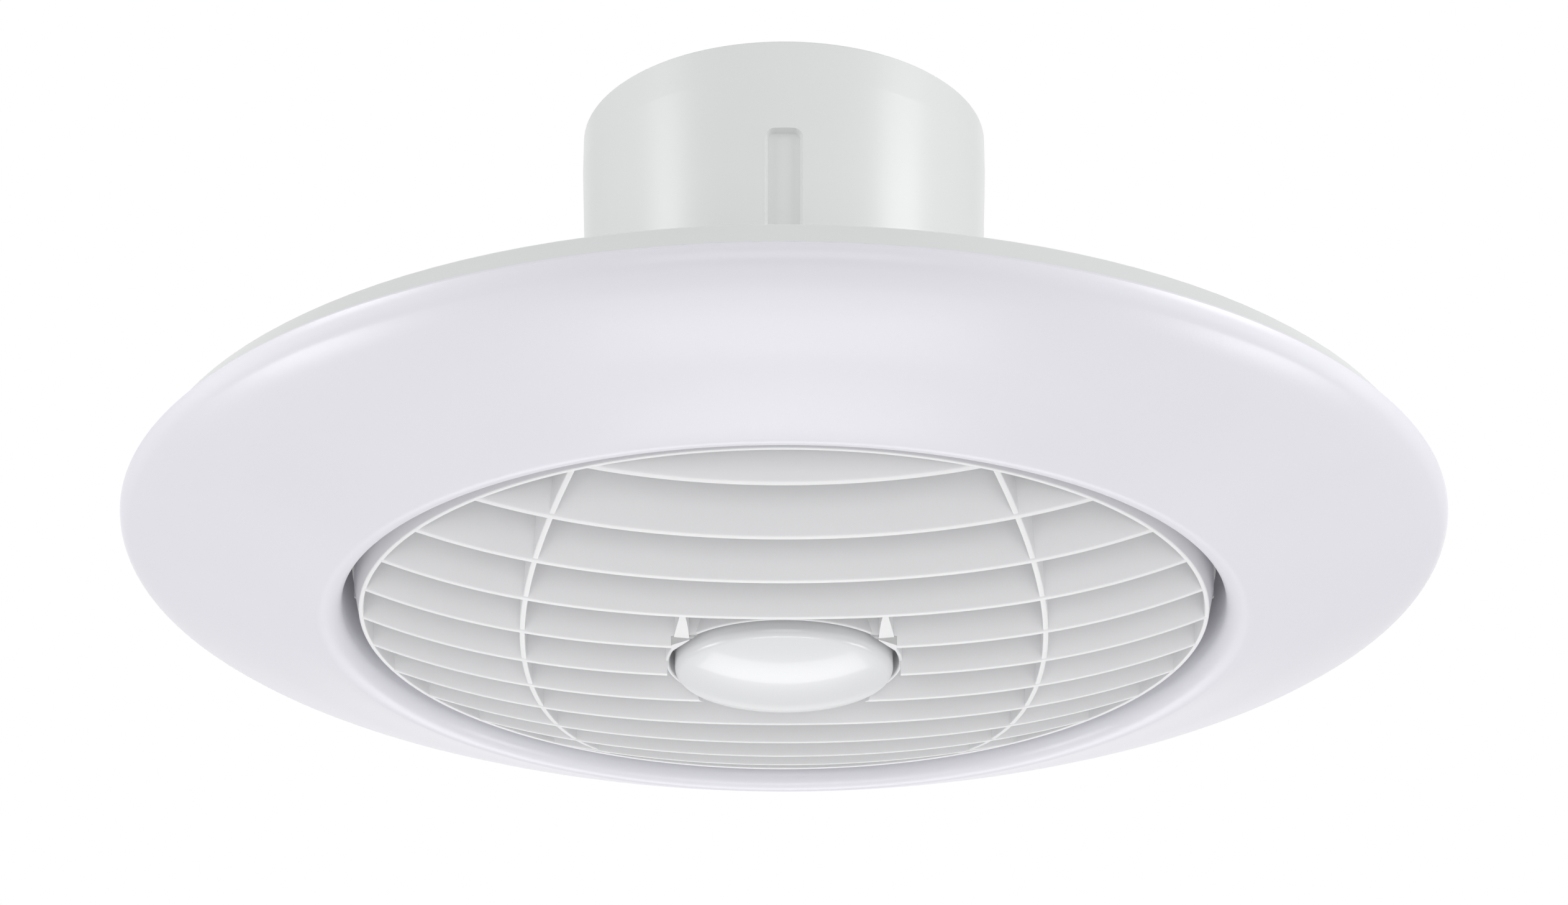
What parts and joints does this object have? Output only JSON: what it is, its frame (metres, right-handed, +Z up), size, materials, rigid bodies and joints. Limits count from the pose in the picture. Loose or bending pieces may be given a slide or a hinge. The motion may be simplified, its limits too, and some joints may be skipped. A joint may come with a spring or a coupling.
{
  "type": "bathroom extractor fan",
  "caption": "Round ceiling extractor fan with a tapered duct spigot, a wide light ring, a domed louvre grille and a glossy centre cap.",
  "frame": {"origin": "on the fan's axis, in the plane of the ceiling that the back plate is screwed to", "axes": "+Z up along the duct spigot, -Y towards the side of the spigot with the cable channel"},
  "size_m": [0.495, 0.495, 0.2334],
  "materials": {
    "housing_white": "satin moulded",
    "opal_diffuser": "smooth opal satin",
    "grille_white": "fine satin moulded",
    "cap_white": "glossy moulded",
    "foam": "open-cell foam",
    "rubber_grey": "matt rubber",
    "fan_plastic": "glass-filled nylon",
    "cast_alloy": "die cast",
    "steel": "bright zinc plate",
    "lamination": "stacked sheet",
    "copper": "enamelled wire",
    "magnet": "sintered grey",
    "board_green": "solder mask",
    "board_white": "white solder mask on aluminium",
    "led_phosphor": "silicone phosphor",
    "terminal_plastic": "polyamide",
    "brass": "turned",
    "wire_red": "wire insulation",
    "wire_grey": "wire insulation"
  },
  "bodies": {
    "housing": {"spigot_housing": "housing_white", "back_plate": "housing_white", "ceiling_gasket": "foam", "cable_grommet": "rubber_grey", "inlet_bellmouth": "housing_white", "bayonet_ring": "housing_white", "diffuser_catches": "housing_white", "led_board": "board_white", "led_chips": "led_phosphor", "lower_bearing": "steel", "upper_bearing": "steel", "motor_mount": "cast_alloy", "stator_core": "lamination", "stator_windings": "copper", "motor_board": "board_green", "motor_cover": "fan_plastic", "shutter_frame": "housing_white", "front_hinge_pin": "steel", "rear_hinge_pin": "steel", "driver_case": "terminal_plastic", "driver_board": "board_green", "terminal_block": "terminal_plastic", "terminal_clamps": "brass", "cable_clamp": "terminal_plastic", "mains_leads": "wire_red", "led_lead": "wire_grey", "motor_lead": "wire_grey", "motor_plug": "terminal_plastic", "flange_screws": "steel", "bellmouth_screws": "steel", "bayonet_screws": "steel", "board_screws": "steel", "catch_screws": "steel", "mount_screws": "steel", "shutter_screws": "steel", "driver_screws": "steel", "terminal_screws": "steel", "clamp_screws": "steel"},
    "rotor": {"impeller": "fan_plastic", "rotor_can": "steel", "rotor_magnets": "magnet", "motor_shaft": "steel", "shaft_circlip": "steel"},
    "front_shutter": {"front_flap": "housing_white"},
    "rear_shutter": {"rear_flap": "housing_white"},
    "grille": {"louvre_grille": "grille_white"},
    "cap": {"centre_cap": "cap_white"},
    "light_ring": {"ring_diffuser": "opal_diffuser"}
  },
  "joints": [
    {"name": "impeller_spin", "type": "hinge", "parent": "housing", "child": "rotor", "pos_m": [0, 0, 0.025], "axis": [0, 0, 1], "continuous": true},
    {"name": "front_flap_swing", "type": "hinge", "parent": "housing", "child": "front_shutter", "pos_m": [0, -0.005, 0.088], "axis": [-1, 0, 0], "range_deg": [0, 80]},
    {"name": "rear_flap_swing", "type": "hinge", "parent": "housing", "child": "rear_shutter", "pos_m": [0, 0.005, 0.088], "axis": [1, 0, 0], "range_deg": [0, 80]},
    {"name": "grille_twist", "type": "hinge", "parent": "housing", "child": "grille", "pos_m": [0, 0, -0.0226], "axis": [0, 0, 1], "range_deg": [0, 12]},
    {"name": "cap_pull", "type": "slide", "parent": "grille", "child": "cap", "axis": [0, 0, -1], "range_m": [0, 0.025]},
    {"name": "light_ring_twist", "type": "hinge", "parent": "housing", "child": "light_ring", "pos_m": [0, 0, -0.0112], "axis": [0, 0, 1], "range_deg": [0, 12]}
  ]
}
